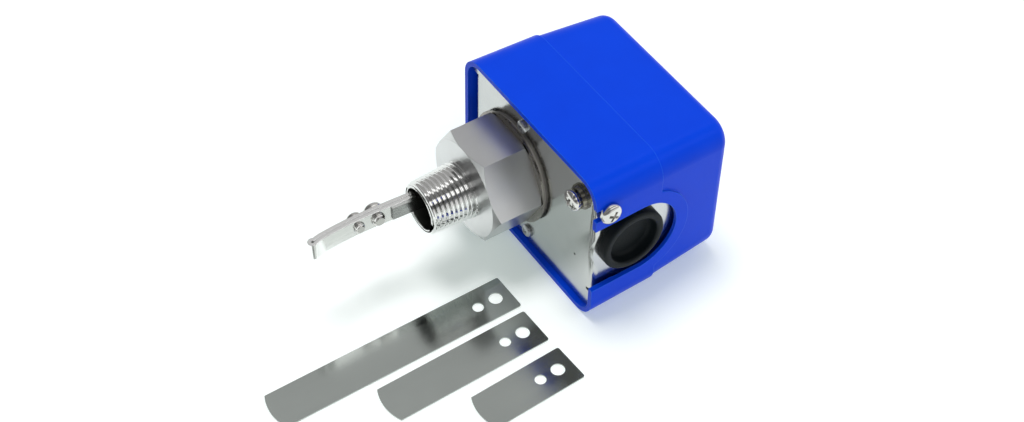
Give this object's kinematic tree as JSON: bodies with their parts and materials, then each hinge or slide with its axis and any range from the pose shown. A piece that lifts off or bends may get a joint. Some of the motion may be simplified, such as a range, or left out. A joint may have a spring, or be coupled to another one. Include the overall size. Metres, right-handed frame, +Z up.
{
  "type": "paddle flow switch",
  "caption": "Paddle flow switch with a threaded hexagon fitting, a swinging paddle carrier, a snap switch under a moulded cover, and spare paddles beside it.",
  "frame": {"origin": "on the axis of the pipe thread, at its gauge plane, 8.16 mm from the thread's free end", "axes": "+X along the thread's axis from the pipe into the box, +Y away from the cable entry (against the flow that works the switch), +Z up, from the side of the cover that it lies on to the opposite side"},
  "size_m": [0.1745, 0.1073, 0.067],
  "materials": {
    "steel": "turned, bright",
    "zinc_steel": "zinc plated",
    "brushed_plate": "brushed sheet",
    "stainless": "rolled sheet",
    "nickel_screws": "nickel plated",
    "spring_steel": "bright spring steel",
    "brass": "satin",
    "phosphor_bronze": "satin",
    "blue_abs": "semi-gloss moulded",
    "black_phenolic": "matt moulded",
    "red_plastic": "matt",
    "rubber": "matt"
  },
  "bodies": {
    "housing": {"body_fitting": "steel", "washer_plate": "zinc_steel", "body_gasket": "rubber", "base_plate": "brushed_plate", "lock_nut": "zinc_steel", "conduit_grommet": "rubber", "cover_screws": "nickel_screws", "earth_screw": "nickel_screws", "earth_spring_washer": "zinc_steel", "earth_cup_washer": "brass", "earth_flat_washer": "zinc_steel", "plate_screws": "nickel_screws", "mechanism_frame": "zinc_steel", "pivot_pin": "steel", "pivot_clips": "spring_steel", "bellows": "phosphor_bronze", "seal_ring": "brass", "switch_case": "black_phenolic", "switch_leaf_pin": "steel", "switch_terminals": "brass", "terminal_screws": "nickel_screws", "switch_spacers": "zinc_steel", "switch_screws": "nickel_screws", "switch_nuts": "nickel_screws", "range_spring": "spring_steel", "spare_paddle_long": "stainless", "spare_paddle_medium": "stainless", "spare_paddle_short": "stainless"},
    "lever": {"seal_cap": "brass", "pivot_block": "brass", "lever_rod": "stainless", "lever_blade": "stainless", "paddle_carrier": "stainless", "clamp_screw_big": "stainless", "clamp_screw_small": "stainless", "rocker": "zinc_steel", "striker_screw": "nickel_screws", "striker_nuts": "nickel_screws"},
    "leaf": {"switch_leaf": "spring_steel"},
    "plunger": {"switch_plunger": "red_plastic"},
    "adjuster": {"range_screw": "nickel_screws", "range_clip": "spring_steel"},
    "nut": {"range_nut": "brass"},
    "lid": {"cover": "blue_abs"}
  },
  "joints": [
    {"name": "lever_swing", "type": "hinge", "parent": "housing", "child": "lever", "pos_m": [0.043, 0, 0], "axis": [0, 0, 1], "range_deg": [0, 6], "stiffness_Nm_per_rad": 0.4, "springref_deg": -9.74, "deforming": ["range_spring"]},
    {"name": "leaf_swing", "type": "hinge", "parent": "housing", "child": "leaf", "pos_m": [0.0502, -0.0073, 0], "axis": [0, 0, 1], "range_deg": [0, 9.3]},
    {"name": "plunger_slide", "type": "slide", "parent": "housing", "child": "plunger", "axis": [0, 1, 0], "range_m": [0, 0.001]},
    {"name": "nut_slide", "type": "slide", "parent": "housing", "child": "nut", "axis": [1, 0, 0], "range_m": [-0.0021, 0.0021], "deforming": ["range_spring"]},
    {"name": "adjuster_turn", "type": "hinge", "parent": "housing", "child": "adjuster", "pos_m": [0.0766, 0.014, 0], "axis": [1, 0, 0], "range_deg": [-1082, 1082]},
    {"name": "cover_slide", "type": "slide", "parent": "housing", "child": "lid", "axis": [1, 0, 0], "range_m": [0, 0.07]}
  ],
  "couplings": [
    {"joint": "leaf_swing", "follows": "lever_swing", "ratio": 1.53},
    {"joint": "plunger_slide", "follows": "lever_swing", "m_per_rad": 0.00907},
    {"joint": "adjuster_turn", "follows": "nut_slide", "rad_per_m": 8976}
  ]
}
